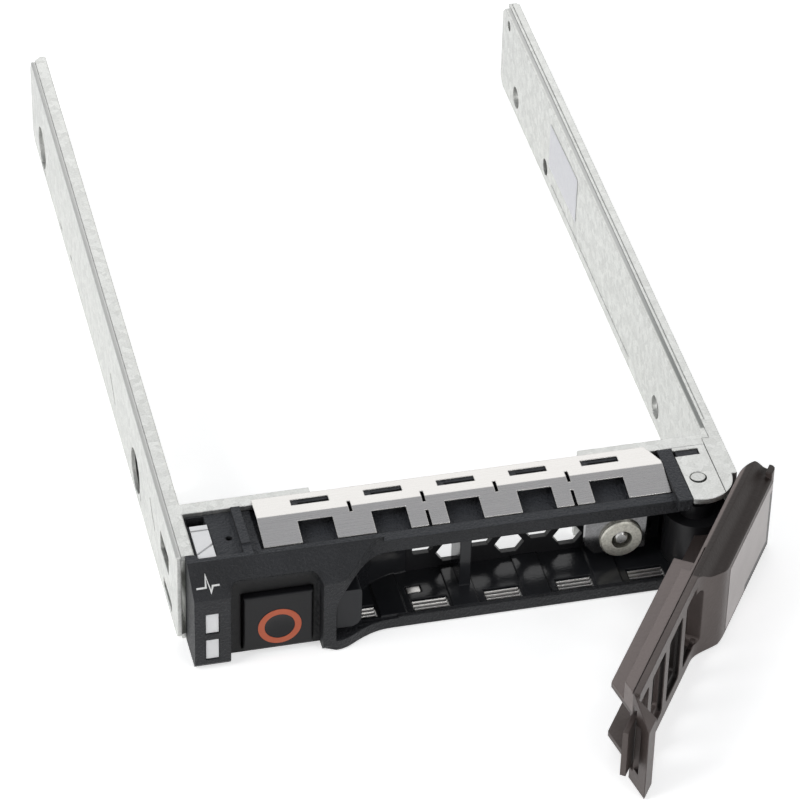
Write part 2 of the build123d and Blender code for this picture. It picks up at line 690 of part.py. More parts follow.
lever_left = 1.9 - lever_reach
vent_count = 4
vent_first = lever_left + 0.5
vent_pitch = (bulge_left - 3.6 - vent_first) / (vent_count - 1)
vent_width = 0.775 * vent_pitch
vent_middles = [vent_first + vent_width / 2 + vent_pitch * vent_index for vent_index in range(vent_count)]
end_run = 4.4
end_depth = 3.0
end_front_radius = 0.7
plate_left = bulge_slope_end + 0.1
plate_right = lever_right - 0.8
plate_low = 0.9
plate_high = 11.3
with BuildPart(lever_plan) as lever:
    # vent wall, rim and the two flanges of the channel
    block(lever_left, bulge_left + 1.4, skin_front, skin_inner, lever_flange_bottom, tray_height)
    block(lever_left, bulge_left + 1.4, skin_front, skin_front + 0.65, 0, lever_flange_bottom)
    block(lever_left, bulge_left + 1.4, skin_front, rim_inner, lever_flange_top, tray_height)
    block(
        lever_left, flange_right, skin_inner, flange_inner,
        lever_flange_top - lever_flange_sheet, lever_flange_top,
    )
    block(
        lever_left, flange_right, skin_inner, flange_inner,
        lever_flange_bottom, lever_flange_bottom + lever_flange_sheet,
    )
    block(flange_right - 1.2, flange_right, skin_inner, flange_inner, lever_flange_bottom, lever_flange_top)
    # finger bar at the free end
    block(lever_left - 2.4, lever_left + 1.7, bulge_front + 0.2, skin_front, 0, tray_height)
    # bulge that carries the label plate
    with BuildSketch(lever_section.offset(bulge_left)):
        with BuildLine():
            Line((bulge_inner, 0.0), (bulge_inner, tray_height))
            Line((bulge_inner, tray_height), (skin_front + 0.1, tray_height))
            Spline(
                (skin_front + 0.1, tray_height),
                (-6.5, 13.3),
                (-7.2, 12.6),
                (-8.0, 12.45),
                (bulge_front, 12.1),
            )
            Line((bulge_front, 12.1), (bulge_front, 0.4))
            Line((bulge_front, 0.4), (bulge_front + 0.3, 0.0))
            Line((bulge_front + 0.3, 0.0), (bulge_inner, 0.0))
        make_face()
    extrude(amount=lever_right - bulge_left)
    # raised front corner at the right end
    block(lever_right - 1.7, lever_right, bulge_front, bulge_front + 0.9, 11.5, 13.3)
    # rounded right end
    with BuildSketch(lever_plan.offset(-0.1)):
        with Locations((lever_right - end_run / 2 + 0.25, bulge_inner - end_depth / 2 + 0.25)):
            Rectangle(end_run + 0.5, end_depth + 0.5)
        with Locations((lever_right - end_run, bulge_inner - end_depth)):
            Ellipse(end_run, end_depth, mode=Mode.SUBTRACT)
    extrude(amount=tray_height + 0.2, mode=Mode.SUBTRACT)
    with BuildSketch(lever_plan.offset(-0.1)):
        with Locations((lever_right - end_front_radius / 2 + 0.25, bulge_front + end_front_radius / 2 - 0.25)):
            Rectangle(end_front_radius + 0.5, end_front_radius + 0.5)
        with Locations((lever_right - end_front_radius, bulge_front + end_front_radius)):
            Circle(end_front_radius, mode=Mode.SUBTRACT)
    extrude(amount=tray_height + 0.2, mode=Mode.SUBTRACT)
    # hollow of the bulge, open towards the tray
    block(
        bulge_slope_end - 2.1, lever_right - end_run - 0.3, bulge_front + 1.0, bulge_inner + 0.1,
        1.2, 11.4, Mode.SUBTRACT,
    )
    # clearance for the floor beam and the pivot side
    block(bulge_left - 1.1, lever_right + 1, -5.35, bulge_inner + 0.5, -0.1, lever_flange_bottom, Mode.SUBTRACT)
    # left wall of the bulge, swept in an S from the vent wall
    with BuildSketch(lever_plan.offset(-0.1)):
        with BuildLine():
            Spline(
                (bulge_left, skin_front),
                (bulge_left + 2.0, skin_front - 0.6),
                (bulge_slope_end - 2.3, bulge_front + 0.5),
                (bulge_slope_end, bulge_front),
                tangents=((1, 0), (1, 0)),
            )
            Polyline(
                (bulge_slope_end, bulge_front),
                (bulge_slope_end, bulge_front - 0.6),
                (bulge_left - 0.3, bulge_front - 0.6),
                (bulge_left - 0.3, skin_front),
                (bulge_left, skin_front),
            )
        make_face()
    extrude(amount=tray_height + 0.2, mode=Mode.SUBTRACT)
    # end of the handle cut at forty five degrees
    with BuildSketch(lever_plan.offset(-0.1)):
        with BuildLine():
            Polyline(
                (flange_left + 1.0, flange_inner + 1.1),
                (flange_left - 8.4, flange_inner - 8.3),
                (flange_left - 12.0, flange_inner - 8.3),
                (flange_left - 12.0, flange_inner + 1.1),
                close=True,
            )
        make_face()
    extrude(amount=tray_height + 0.2, mode=Mode.SUBTRACT)
    # top of the finger bar slopes down to the tip
    with BuildSketch(lever_section.offset(lever_left - 3.4)):
        with BuildLine():
            Polyline(
                (-5.3, tray_height),
                (bulge_front, 10.9),
                (bulge_front - 0.5, 10.9),
                (bulge_front - 0.5, tray_height + 0.5),
                (-5.3, tray_height + 0.5),
                close=True,
            )
        make_face()
    extrude(amount=5.4, mode=Mode.SUBTRACT)
    # vents: shallow frames with openings through the wall
    with BuildSketch(lever_face.offset(-skin_front)):
        for vent_middle in vent_middles:
            with Locations((vent_middle, 7.0)):
                RectangleRounded(vent_width, 10.4, 0.6)
    extrude(amount=-0.6, mode=Mode.SUBTRACT)
    with BuildSketch(lever_face.offset(-skin_front)):
        for vent_middle in vent_middles:
            with Locations((vent_middle + 0.1, 6.45)):
                RectangleRounded(vent_width - 1.0, 6.9, 0.5)
    extrude(amount=-2.0, mode=Mode.SUBTRACT)
    # last vent runs out through the left wall of the bulge
    with BuildSketch(lever_face.offset(-bulge_front)):
        with Locations((vent_middles[-1] + 0.35, 6.7)):
            RectangleRounded(vent_width - 0.4, 9.0, 0.7)
    extrude(amount=-4.2, mode=Mode.SUBTRACT)
    # parting groove along the rim
    block(
        lever_left + 0.6, bulge_slope_end, -5.15, -5.0,
        tray_height - 0.3, tray_height + 0.1, Mode.SUBTRACT,
    )
    # catch bar at the free end
    block(lever_left - 1.7, lever_left + 2.6, -5.9, -5.15, 3.4, 10.6)
    block(lever_left - 3.0, lever_left + 1.1, -7.0, -5.9, 2.4, 10.0, Mode.SUBTRACT)
    # arm to the hub, with a saddle that hugs it
    block(flange_right - 0.6, -1.5, -3.9, -1.2, 4.6, 7.6)
    rod_z(0, 0, hub_radius, 0, tray_height, Mode.SUBTRACT)
    # seat of the label plate, with a gap along its right and lower edges
    block(
        plate_left - 0.1, plate_right + 0.1, bulge_front - 0.1, bulge_front + 0.25,
        plate_low - 0.1, plate_high + 0.1, Mode.SUBTRACT,
    )
    block(
        plate_right, plate_right + 0.35, bulge_front - 0.1, bulge_front + 0.6,
        plate_low - 0.4, 9.8, Mode.SUBTRACT,
    )
    block(
        -4.6, plate_right + 0.35, bulge_front - 0.1, bulge_front + 0.6,
        plate_low - 0.4, plate_low, Mode.SUBTRACT,
    )
lever.part.label = "lever"
export_step(lever.part, "parts/lever.step")

# Label plate: bare plate seated in the face of the bulge
with BuildPart() as lever_label_plate:
    with BuildSketch(lever_face.offset(-bulge_front - 0.25)):
        with Locations(((plate_left + plate_right) / 2, (plate_low + plate_high) / 2)):
            RectangleRounded(plate_right - plate_left, plate_high - plate_low, 0.25)
    extrude(amount=0.3)
lever_label_plate.part.label = "lever_label_plate"
export_step(lever_label_plate.part, "parts/lever_label_plate.step")

# Hub: barrel on the pin with a pocket for the torsion spring, open below, and a neck under the roof
hub_bottom = floor_top + 0.1
hub_cap = 0.7
hub_neck_radius = 2.5
spring_pocket_bottom = 3.6
with BuildPart() as lever_hub:
    rod_z(pivot_x, pivot_y, hub_radius, hub_bottom, hub_top + hub_cap)
    rod_z(pivot_x, pivot_y, hub_neck_radius, hub_top + hub_cap, roof_bottom - 0.2)
    rod_z(pivot_x, pivot_y, hub_radius - 0.9, hub_bottom - 1, hub_top, Mode.SUBTRACT)
    rod_z(pivot_x, pivot_y, pin_radius + pin_clearance, hub_bottom - 1, tray_height, Mode.SUBTRACT)
lever_hub.part.label = "lever_hub"
export_step(lever_hub.part, "parts/lever_hub.step")

# Pin: shaft through the hub, stepped top staked into the pivot plate
with BuildPart() as pivot_pin:
    rod_z(pivot_x, pivot_y, pin_radius, 0.3, tray_height - rail_sheet)
    rod_z(pivot_x, pivot_y, pin_spigot_radius, tray_height - rail_sheet, tray_height)
    chamfer(pivot_pin.edges().group_by(Axis.Z)[-1], 0.2)
pivot_pin.part.label = "pivot_pin"
export_step(pivot_pin.part, "parts/pivot_pin.step")

# Torsion spring: coil around the pin inside the hub pocket
coil_radius = 2.45
wire_radius = 0.3
coil_bottom = spring_pocket_bottom + wire_radius
with BuildPart() as torsion_spring:
    with BuildLine() as coil_line:
        Helix(pitch=0.95, height=3.8, radius=coil_radius, center=(pivot_x, pivot_y, coil_bottom))
    with BuildSketch(Plane(origin=coil_line.line @ 0, z_dir=coil_line.line % 0)):
        RegularPolygon(wire_radius, 8)
    sweep(path=coil_line.line, is_frenet=True)
torsion_spring.part.label = "torsion_spring"
export_step(torsion_spring.part, "parts/torsion_spring.step")

# Button: square cap with a dished centre, retaining flange and wedge behind
dish_x = button_left + 4.7
dish_z = 4.45
ring_outer = 2.85
ring_inner = 2.0
with BuildPart() as release_button:
    block(button_left, button_right, button_face_y, -12.6, button_bottom, button_top)
    cap_edges = release_button.edges().group_by(Axis.Y)[0]
    fillet(cap_edges, 0.35)
    block(button_left - 0.7, button_right + 0.5, -13.4, -12.6, button_bottom, button_top + 0.7)
    # groove of the coloured ring and the dish inside it
    with BuildSketch(Plane.XZ.offset(-button_face_y)):
        with Locations((dish_x, dish_z)):
            Circle(ring_outer)
            Circle(ring_inner, mode=Mode.SUBTRACT)
    extrude(amount=-0.5, mode=Mode.SUBTRACT)
    with Locations((dish_x, button_face_y - 5.2, dish_z)):
        Sphere(5.55, mode=Mode.SUBTRACT)
    # wedge that drives the latch
    with BuildSketch(Plane.XY.offset(4.0)):
        with BuildLine():
            Polyline(
                (button_left + 4.2, -12.6),
                (button_left + 8.2, -12.6),
                (button_left + 8.2, -10.7),
                (button_left + 6.1, -10.7),
                close=True,
            )
        make_face()
    extrude(amount=3.4)
release_button.part.label = "release_button"
export_step(release_button.part, "parts/release_button.step")

# Ring: coloured inlay in the groove of the button
with BuildPart() as button_ring:
    with BuildSketch(Plane.XZ.offset(-button_face_y - 0.5)):
        with Locations((dish_x, dish_z)):
            Circle(ring_outer)
            Circle(ring_inner, mode=Mode.SUBTRACT)
    extrude(amount=0.55)
button_ring.part.label = "button_ring"
export_step(button_ring.part, "parts/button_ring.step")

# Latch: slider behind the button with a window for the wedge, rounded nose beside the post
slider_front_y = -11.2
slider_rear_y = -9.6
slider_left = button_left + 2.3
with BuildPart() as release_latch:
    block(post_right + 0.3, nose_tip, -15.2, -12.4, 2.6, 8.8)
    nose_edges = release_latch.edges().filter_by(Axis.Y).group_by(Axis.X)[-1]
    fillet(nose_edges.sort_by(Axis.Z)[0], 1.6)
    fillet(release_latch.edges().filter_by(Axis.Y).group_by(Axis.X)[-1].sort_by(Axis.Z)[-1], 0.5)
    block(post_left + 0.9, nose_tip, -12.4, slider_front_y, 2.6, 8.8)
    block(slider_left, nose_tip, slider_front_y, slider_rear_y, 2.6, 8.8)
    # window with a ramp on its left side
    with BuildSketch(Plane.XY.offset(3.8)):
        with BuildLine():
            Polyline(
                (button_left + 4.9, slider_front_y - 0.5),
                (button_left + 7.5, slider_rear_y + 0.5),
                (button_right + 0.5, slider_rear_y + 0.5),
                (button_right + 0.5, slider_front_y - 0.5),
                close=True,
            )
        make_face()
    extrude(amount=3.8, mode=Mode.SUBTRACT)
release_latch.part.label = "release_latch"
export_step(release_latch.part, "parts/release_latch.step")

# Return spring of the latch, between the slider and the side of the bezel
spring_y = -10.4
spring_z = 5.7
with BuildPart() as latch_spring:
    with BuildLine() as return_line:
        Helix(
            pitch=0.76, height=3.0, radius=0.62,
            center=(slider_left - 0.2, spring_y, spring_z), direction=(-1, 0, 0),
        )
    with BuildSketch(Plane(origin=return_line.line @ 0, z_dir=return_line.line % 0)):
        RegularPolygon(0.16, 6)
    sweep(path=return_line.line, is_frenet=True)
latch_spring.part.label = "latch_spring"
export_step(latch_spring.part, "parts/latch_spring.step")

# Light pipes: clear bars from the lamp windows to the top of the bezel
with BuildPart() as light_pipe_upper:
    block(lamp_x0 + lamp_gap, lamp_x1 - lamp_gap, front_y + 0.15, -5.3, 5.9, 9.0)
    block(lamp_x0 + 0.3, pipe_right, -10.9, -5.3, 5.9, top_plate_height + 0.2)
    with BuildSketch(Plane.XY.offset(top_plate_height - 0.6)):
        with BuildLine():
            Polyline(
                (lamp_x0 + 0.2, -10.0),
                (pipe_right + 0.1, -8.2),
                (pipe_right + 0.1, -7.8),
                (lamp_x0 + 0.2, -9.6),
                close=True,
            )
        make_face()
    extrude(amount=1.5, mode=Mode.SUBTRACT)
    fillet(light_pipe_upper.edges().filter_by(Axis.X).group_by(Axis.Z)[0].sort_by(Axis.Y)[-1], 1.5)
light_pipe_upper.part.label = "light_pipe_upper"
export_step(light_pipe_upper.part, "parts/light_pipe_upper.step")

with BuildPart() as light_pipe_lower:
    block(lamp_x0 + lamp_gap, lamp_x1 - lamp_gap, front_y + 0.15, -4.2, 1.55, 4.7)
    block(lamp_x0 + 0.3, pipe_right, -5.0, -4.2, 1.55, top_plate_height + 0.2)
light_pipe_lower.part.label = "light_pipe_lower"
export_step(light_pipe_lower.part, "parts/light_pipe_lower.step")

# Bush bracket: polished angle with a cut corner, standing off the rear wall
with BuildPart() as bush_bracket:
    with BuildSketch(Plane.XZ.offset(-bracket_front_y)):
        with BuildLine():
            Polyline(
                (bush_x - 4.9, roof_bottom),
                (bush_x - 4.9, 5.0),
                (bush_x - 3.5, 3.4),
                (bracket_right, 3.4),
                (bracket_right, roof_bottom),
                close=True,
            )
        make_face()
        with Locations((bush_x, bush_z)):
            Circle(bush_barrel_radius, mode=Mode.SUBTRACT)
    extrude(amount=-0.8)
    block(bracket_right - 0.8, bracket_right, bracket_front_y, -2.6, 3.4, roof_bottom)
    fillet(bush_bracket.edges().filter_by(Axis.Z).group_by(Axis.Y)[0].sort_by(Axis.X)[-1], 0.5)
bush_bracket.part.label = "bush_bracket"
export_step(bush_bracket.part, "parts/bush_bracket.step")

# Flanged bush seated in the bracket
with BuildPart() as flanged_bush:
    rod_y(bush_x, bush_z, 2.9, bracket_front_y - 0.6, bracket_front_y)
    chamfer(flanged_bush.edges().group_by(Axis.Y)[0], 0.2)
    rod_y(bush_x, bush_z, bush_barrel_radius, bracket_front_y, -6.4)
    rod_y(bush_x, bush_z, bush_bore_radius, -10.0, -6.0, Mode.SUBTRACT)
flanged_bush.part.label = "flanged_bush"
export_step(flanged_bush.part, "parts/flanged_bush.step")

# Stud inside the bush, seated in the rear wall
with BuildPart() as bush_stud:
    rod_y(bush_x, bush_z, 0.95, -9.0, -1.6)
    chamfer(bush_stud.edges().group_by(Axis.Y)[0], 0.25)
bush_stud.part.label = "bush_stud"
export_step(bush_stud.part, "parts/bush_stud.step")

# Countersunk rivets through the cross webs into the bezel
with BuildPart() as bezel_rivets:
    for hole_x in rivet_xs:
        rod_y(hole_x, rivet_height, rivet_radius, bezel_rear_y - rivet_depth + 0.2, -0.6)
        with Locations(Location((hole_x, -0.3, rivet_height), (-90, 0, 0))):
            Cone(rivet_radius, rivet_head_radius, 0.6)
bezel_rivets.part.label = "bezel_rivets"
export_step(bezel_rivets.part, "parts/bezel_rivets.step")
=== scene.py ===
# %% [markdown]
# # A hot swap drive caddy
# Two folded steel rails carry a small disk drive behind a black moulded bezel, and a brown handle swings
# out at the right. The exact solids come ready made from the CAD frame, so this lesson is about finishes,
# light and the camera. Drawing the tray again by hand would lose its exact sizes, so only one spring is
# wound anew, and the printed mark and the paper label are added.

# %% Load the frame
import math
import bpy
from mathutils import Matrix, Vector


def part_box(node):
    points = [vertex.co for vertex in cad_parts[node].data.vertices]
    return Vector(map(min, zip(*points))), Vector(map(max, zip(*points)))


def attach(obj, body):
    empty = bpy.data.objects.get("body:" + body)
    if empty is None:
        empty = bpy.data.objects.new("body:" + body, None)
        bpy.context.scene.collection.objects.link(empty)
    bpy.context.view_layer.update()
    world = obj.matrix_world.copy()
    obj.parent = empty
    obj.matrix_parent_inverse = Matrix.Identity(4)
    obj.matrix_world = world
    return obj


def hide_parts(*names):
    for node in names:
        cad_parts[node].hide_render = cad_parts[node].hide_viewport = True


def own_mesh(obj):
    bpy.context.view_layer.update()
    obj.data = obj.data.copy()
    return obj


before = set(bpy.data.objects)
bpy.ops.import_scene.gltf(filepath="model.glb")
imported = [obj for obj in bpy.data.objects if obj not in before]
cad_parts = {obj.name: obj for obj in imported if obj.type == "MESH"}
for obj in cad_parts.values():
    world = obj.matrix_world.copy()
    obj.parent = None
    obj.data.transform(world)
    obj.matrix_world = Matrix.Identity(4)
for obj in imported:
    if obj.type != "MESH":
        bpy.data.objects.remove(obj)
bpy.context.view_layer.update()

MM = 0.001
print("pieces in the frame:", len(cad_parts))

# %% [markdown]
# ## Helpers for the finishes
# Colours are written as the sRGB hex values that an eye dropper reads, and Blender works in linear light,
# so one function turns them. Another one adds a shader node, sets its sockets and joins its links.

# %% Colour and node helpers
SHADER = "Principled BSDF"


def linear(hex_code, alpha=1.0):
    """Turns an sRGB hex colour into Blender's linear values."""
    parts = [int(hex_code[i:i + 2], 16) / 255 for i in (1, 3, 5)]
    return [c / 12.92 if c <= 0.04045 else ((c + 0.055) / 1.055) ** 2.4 for c in parts] + [alpha]


def add_node(tree, kind, inputs=None, links=None, **settings):
    """Adds one shader node, sets its options and input values, and links other sockets to its inputs."""
    made = tree.nodes.new(kind)
    for name, value in settings.items():
        setattr(made, name, value)
    for socket, value in (inputs or {}).items():
        made.inputs[socket].default_value = value
    for socket, source in (links or {}).items():
        tree.links.new(source, made.inputs[socket])
    return made


def new_material(name, **shader_values):
    """A material with its shader and object coordinates, the place where every pattern starts."""
    made = bpy.data.materials.new(name)
    made.use_nodes = True
    tree = made.node_tree
    shader = tree.nodes[SHADER]
    for socket, value in shader_values.items():
        shader.inputs[socket.replace("_", " ")].default_value = value
    place = add_node(tree, "ShaderNodeTexCoord").outputs["Object"]
    return made, tree, shader, place


def wear(piece_names, finish):
    """Gives one finish to the named pieces of the frame."""
    for piece_name in piece_names:
        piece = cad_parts[piece_name]
        piece.data.materials.clear()
        piece.data.materials.append(finish)


print("a satin black reads as", [round(c, 4) for c in linear("#2b2b2e")[:3]])

# %% [markdown]
# ## Patterns
# Every surface here has some fine pattern, such as crystals, pits or hair lines. A pattern gives a number
# from 0 to 1 at each point, and that number picks a colour, a gloss or a height. Real edges are never
# sharp, so a small bevel in the shader rounds the light on them without a change to the mesh.

# %% Pattern helpers
def per_metre(size_mm):
    """Scale of a pattern whose one cell is this many millimetres across."""
    return 1 / (size_mm * MM)


def two_tone(tree, factor, dark, light, low=0.0, high=1.0):
    """Colour ramp between two hex colours, driven by a pattern."""
    ramp = add_node(tree, "ShaderNodeValToRGB", links={"Fac": factor})
    ramp.color_ramp.elements[0].position = low
    ramp.color_ramp.elements[0].color = linear(dark)
    ramp.color_ramp.elements[1].position = high
    ramp.color_ramp.elements[1].color = linear(light)
    return ramp.outputs["Color"]


def tint_and_gloss(tree, shader, tint, dark, light, gloss, rough_low, rough_high, low=0.3, high=0.7):
    """Lets one pattern pick the colour between two hex colours, and one the roughness between two values."""
    tree.links.new(two_tone(tree, tint, dark, light, low, high), shader.inputs["Base Color"])
    roughness = add_node(
        tree, "ShaderNodeMapRange", {"To Min": rough_low, "To Max": rough_high}, {"Value": gloss}
    ).outputs["Result"]
    tree.links.new(roughness, shader.inputs["Roughness"])


def relief(tree, shader, height, edge_mm, strength, depth_mm):
    """Rounds the shading of edges and lets a pattern raise the surface a little."""
    edge = add_node(tree, "ShaderNodeBevel", {"Radius": edge_mm * MM}, samples=4)
    bump = add_node(
        tree, "ShaderNodeBump", {"Strength": strength, "Distance": depth_mm * MM},
        {"Height": height, "Normal": edge.outputs["Normal"]},
    )
    bump.name = "grain"
    tree.links.new(bump.outputs["Normal"], shader.inputs["Normal"])


print("a cell of 0.9 mm has scale", round(per_metre(0.9)))

# %% [markdown]
# ## Places on a piece
# Some pieces are finished differently in one zone: a polished floor, a shaded recess, a dark border. A
# mask that is 1 inside a box in millimetres picks the zone, and one function lays a new value over it.

# %% Masks and overlays
def box_mask(tree, place, low_mm, high_mm, soft_mm=0.15):
    """1 inside a box given in millimetres of the pattern's frame and 0 outside, with a soft border."""
    above = add_node(
        tree, "ShaderNodeVectorMath", {1: [v * MM for v in low_mm]}, {0: place}, operation="SUBTRACT"
    ).outputs["Vector"]
    below = add_node(
        tree, "ShaderNodeVectorMath", {0: [v * MM for v in high_mm]}, {1: place}, operation="SUBTRACT"
    ).outputs["Vector"]
    nearest = add_node(
        tree, "ShaderNodeVectorMath", links={0: above, 1: below}, operation="MINIMUM"
    ).outputs["Vector"]
    sides = add_node(tree, "ShaderNodeSeparateXYZ", links={"Vector": nearest}).outputs
    depth = sides["X"]
    for side in ("Y", "Z"):
        depth = add_node(
            tree, "ShaderNodeMath", links={0: depth, 1: sides[side]}, operation="MINIMUM"
        ).outputs["Value"]
    return add_node(
        tree, "ShaderNodeMapRange", {"From Min": 0.0, "From Max": soft_mm * MM}, {"Value": depth}
    ).outputs["Result"]


def upward_part(tree, zone, low, high):
    """The part of a masked zone whose faces look up, from the height of their normals."""
    normal = add_node(tree, "ShaderNodeNewGeometry").outputs["Normal"]
    height = add_node(tree, "ShaderNodeSeparateXYZ", links={"Vector": normal}).outputs["Z"]
    looks_up = add_node(
        tree, "ShaderNodeMapRange", {"From Min": low, "From Max": high}, {"Value": height}
    ).outputs["Result"]
    return add_node(
        tree, "ShaderNodeMath", links={0: zone, 1: looks_up}, operation="MULTIPLY"
    ).outputs["Value"]


def blend(tree, factor, first, second, kind="RGBA"):
    """Mixes two colours by a mask, or two numbers where the kind is FLOAT."""
    word = {"RGBA": "Color", "FLOAT": "Float"}[kind]
    mixer = add_node(tree, "ShaderNodeMix", data_type=kind)
    for identifier, value in (("Factor_Float", factor), ("A_" + word, first), ("B_" + word, second)):
        socket = next(s for s in mixer.inputs if s.identifier == identifier)
        if isinstance(value, bpy.types.NodeSocket):
            tree.links.new(value, socket)
        else:
            socket.default_value = value
    return next(s for s in mixer.outputs if s.identifier == "Result_" + word)


def overlay(finish, mask, value, socket_name="Base Color", node_name=SHADER):
    """Lays a hex colour, a number or a pattern over what a socket has now, where the mask is 1."""
    tree = finish.node_tree
    socket = tree.nodes[node_name].inputs[socket_name]
    under = socket.links[0].from_socket if socket.is_linked else socket.default_value
    over = linear(value) if isinstance(value, str) else value
    tree.links.new(blend(tree, mask, under, over, "RGBA" if socket.type == "RGBA" else "FLOAT"), socket)


print("mask helpers ready")

# %% [markdown]
# ## Hot dip galvanised sheet
# The rails are folded from steel strip with a frozen zinc skin. Zinc freezes in crystals about a millimetre
# across, each tilted a little, so neighbours shine differently. A cell pattern gives the crystals their
# own brightness and gloss, and a finer one gives the dull freckles. A flat grey would look like paint.

# %% Galvanised steel
SPANGLE_MM = 0.9
FRECKLE_MM = 0.25
SPANGLE_SHARE = 0.3
zinc, tree, shader, place = new_material("galvanised_steel", Metallic=1.0, Roughness=0.42)
crystals = add_node(tree, "ShaderNodeTexVoronoi", {"Scale": per_metre(SPANGLE_MM)}, {"Vector": place})
crystal_value = add_node(
    tree, "ShaderNodeSeparateColor", links={"Color": crystals.outputs["Color"]}
).outputs["Red"]
freckles = add_node(
    tree, "ShaderNodeTexNoise", {"Scale": per_metre(FRECKLE_MM), "Detail": 3.0}, {"Vector": place}
).outputs["Fac"]
pattern = blend(tree, SPANGLE_SHARE, freckles, crystal_value, "FLOAT")
tint_and_gloss(tree, shader, pattern, "#c0c1be", "#dfe0dd", pattern, 0.36, 0.5, 0.25, 0.75)
relief(tree, shader, freckles, edge_mm=0.2, strength=0.25, depth_mm=0.02)
wear(["rail_left", "side_plate_left", "rail_right", "side_channel_right", "pivot_plate"], zinc)
print("zinc crystals per metre:", round(per_metre(SPANGLE_MM)))

# %% [markdown]
# ## A duller top edge and the shade in a seam
# The top edge of the left side plate is painted a duller grey. A dark line runs along the right rail,
# where two sheets lie edge to edge, and it is painted shade in that seam, darker towards the handle. What
# darkens it doesn't show, so it is painted as it looks.

# %% Duller top edge and painted seam shade
# The upper edge of the left side plate is painted a duller grey.
duller_top_edge = box_mask(tree, place, (-37.8, -10.4, 13.3), (-36.93, 106.0, 14.3), 0.25)
overlay(zinc, duller_top_edge, "#aeafad")
# Painted shade in the seam along the right rail, darker towards the handle.
seam_shade = box_mask(tree, place, (35.25, 1.1, 13.6), (36.04, 106.0, 14.3), 0.25)
from_front = add_node(tree, "ShaderNodeSeparateXYZ", links={"Vector": place}).outputs["Y"]
overlay(zinc, seam_shade, two_tone(tree, from_front, "#7d7f7d", "#b2b3b1", 15 * MM, 45 * MM))
print("zinc nodes:", len(tree.nodes))

# %% [markdown]
# ## Black moulded ABS
# The bezel, the grille and the button are moulded in a tool with a spark eroded texture, which leaves tiny
# pits and a satin black. Real pits are about a tenth of a millimetre, drawn coarser here so that they show
# at all. Softer clouds a few millimetres wide shift the colour, as the melt's flow does.

# %% Textured black plastics
PIT_MM = 0.22
ERODED_MM = 0.4
PIT_DEPTH_MM = 0.04
CLOUD_MM = 6.0
PLASTIC_IOR = 1.53


def moulded_plastic(name, dark, light, rough_low, rough_high, pits_mm, pit_strength, edge_mm=0.12, gloss=0.3):
    """Satin moulded plastic with an eroded texture and softly rounded edges."""
    made, tree, shader, place = new_material(name, IOR=PLASTIC_IOR, Specular_IOR_Level=gloss)
    pits, clouds = (
        add_node(
            tree, "ShaderNodeTexNoise", {"Scale": per_metre(size), "Detail": detail}, {"Vector": place}
        ).outputs["Fac"]
        for size, detail in ((pits_mm, 2.5), (CLOUD_MM, 3.0))
    )
    tint_and_gloss(tree, shader, clouds, dark, light, pits, rough_low, rough_high)
    relief(tree, shader, pits, edge_mm, pit_strength, PIT_DEPTH_MM)
    return made


print("pit scale:", round(per_metre(PIT_MM)), "per metre")

# %% The black mouldings
bezel_black = moulded_plastic("moulded_black_abs", "#212224", "#2b2c2f", 0.44, 0.62, ERODED_MM, 1.0, 0.3)
inner_black = moulded_plastic("moulded_black_nylon", "#1f1f21", "#262628", 0.3, 0.42, PIT_MM, 0.15)
button_black = moulded_plastic("button_black_abs", "#0a0a0c", "#0f0f12", 0.4, 0.5, PIT_MM, 0.2)
latch_grey = moulded_plastic("latch_acetal", "#1c1d20", "#232427", 0.38, 0.5, PIT_MM, 0.15)
wear(["bezel"], bezel_black)
wear(["vent_grille", "lever_hub"], inner_black)
wear(["release_button"], button_black)
wear(["release_latch"], latch_grey)
print("black mouldings:", [m.name for m in (bezel_black, inner_black, button_black, latch_grey)])

# %% [markdown]
# ## Zones of the bezel
# In the photograph the floor of the window is glossy and smooth, as if its part of the tool was polished.
# The recess around the button is smooth too, and the shade that falls into it through large soft radii is
# painted as a darker colour with a soft border. The flat tops get a painted sheen in a greyer colour.

# %% Polished floor, painted shade in the recess and painted sheen on the tops
tree = bezel_black.node_tree
place = add_node(tree, "ShaderNodeTexCoord").outputs["Object"]
BEZEL_PIT_DEPTH_MM = 0.3
tree.nodes["grain"].inputs["Distance"].default_value = BEZEL_PIT_DEPTH_MM * MM
polished = box_mask(tree, place, (-16.5, -13.2, -1.0), (40.0, -2.0, 11.3))
overlay(bezel_black, polished, 0.16, "Roughness")
overlay(bezel_black, polished, 0.05, "Strength", "grain")
# Painted shade in the button recess; the same zone also smooths the grain there.
recess = box_mask(tree, place, (-32.0, -15.9, -1.0), (-19.3, -9.0, 12.6), 1.2)
overlay(bezel_black, recess, "#070708")
overlay(bezel_black, recess, 0.15, "Strength", "grain")
# Painted sheen: the faces of the bezel's tops that look up get a greyer colour.
top_sheen_zone = box_mask(tree, place, (-40.0, -17.0, 11.45), (40.0, 2.0, 15.0))
overlay(bezel_black, upward_part(tree, top_sheen_zone, 0.93, 0.99), "#34363a")
print("bezel nodes:", len(tree.nodes))

# %% [markdown]
# ## The brown handle
# The handle looks like a resin with a fine metal flake, which gives a warm brown grey sheen. Flakes are
# far below a tenth of a millimetre, so they show only as a share of metal in the shader. The handle turns
# on its pin, so zones on it are given in its own frame: x along it and y into its face. Its rim gets a
# painted highlight, and the top of its bulge and the depth of its vents get painted shade.

# %% The handle's own frame
OPEN_ANGLE = math.radians(56.0)
PIVOT = Vector((32.2, -8.5, 0.0))


def in_handle(tree):
    """Pattern coordinates in the handle's own frame, along the handle and out of its face."""
    turned_pivot = Matrix.Rotation(-OPEN_ANGLE, 3, "Z") @ PIVOT
    place = add_node(tree, "ShaderNodeTexCoord").outputs["Object"]
    return add_node(
        tree, "ShaderNodeMapping", {"Rotation": (0, 0, -OPEN_ANGLE), "Location": tuple(-turned_pivot * MM)},
        {"Vector": place},
    ).outputs["Vector"]


print("handle stands open by", round(math.degrees(OPEN_ANGLE)), "degrees")

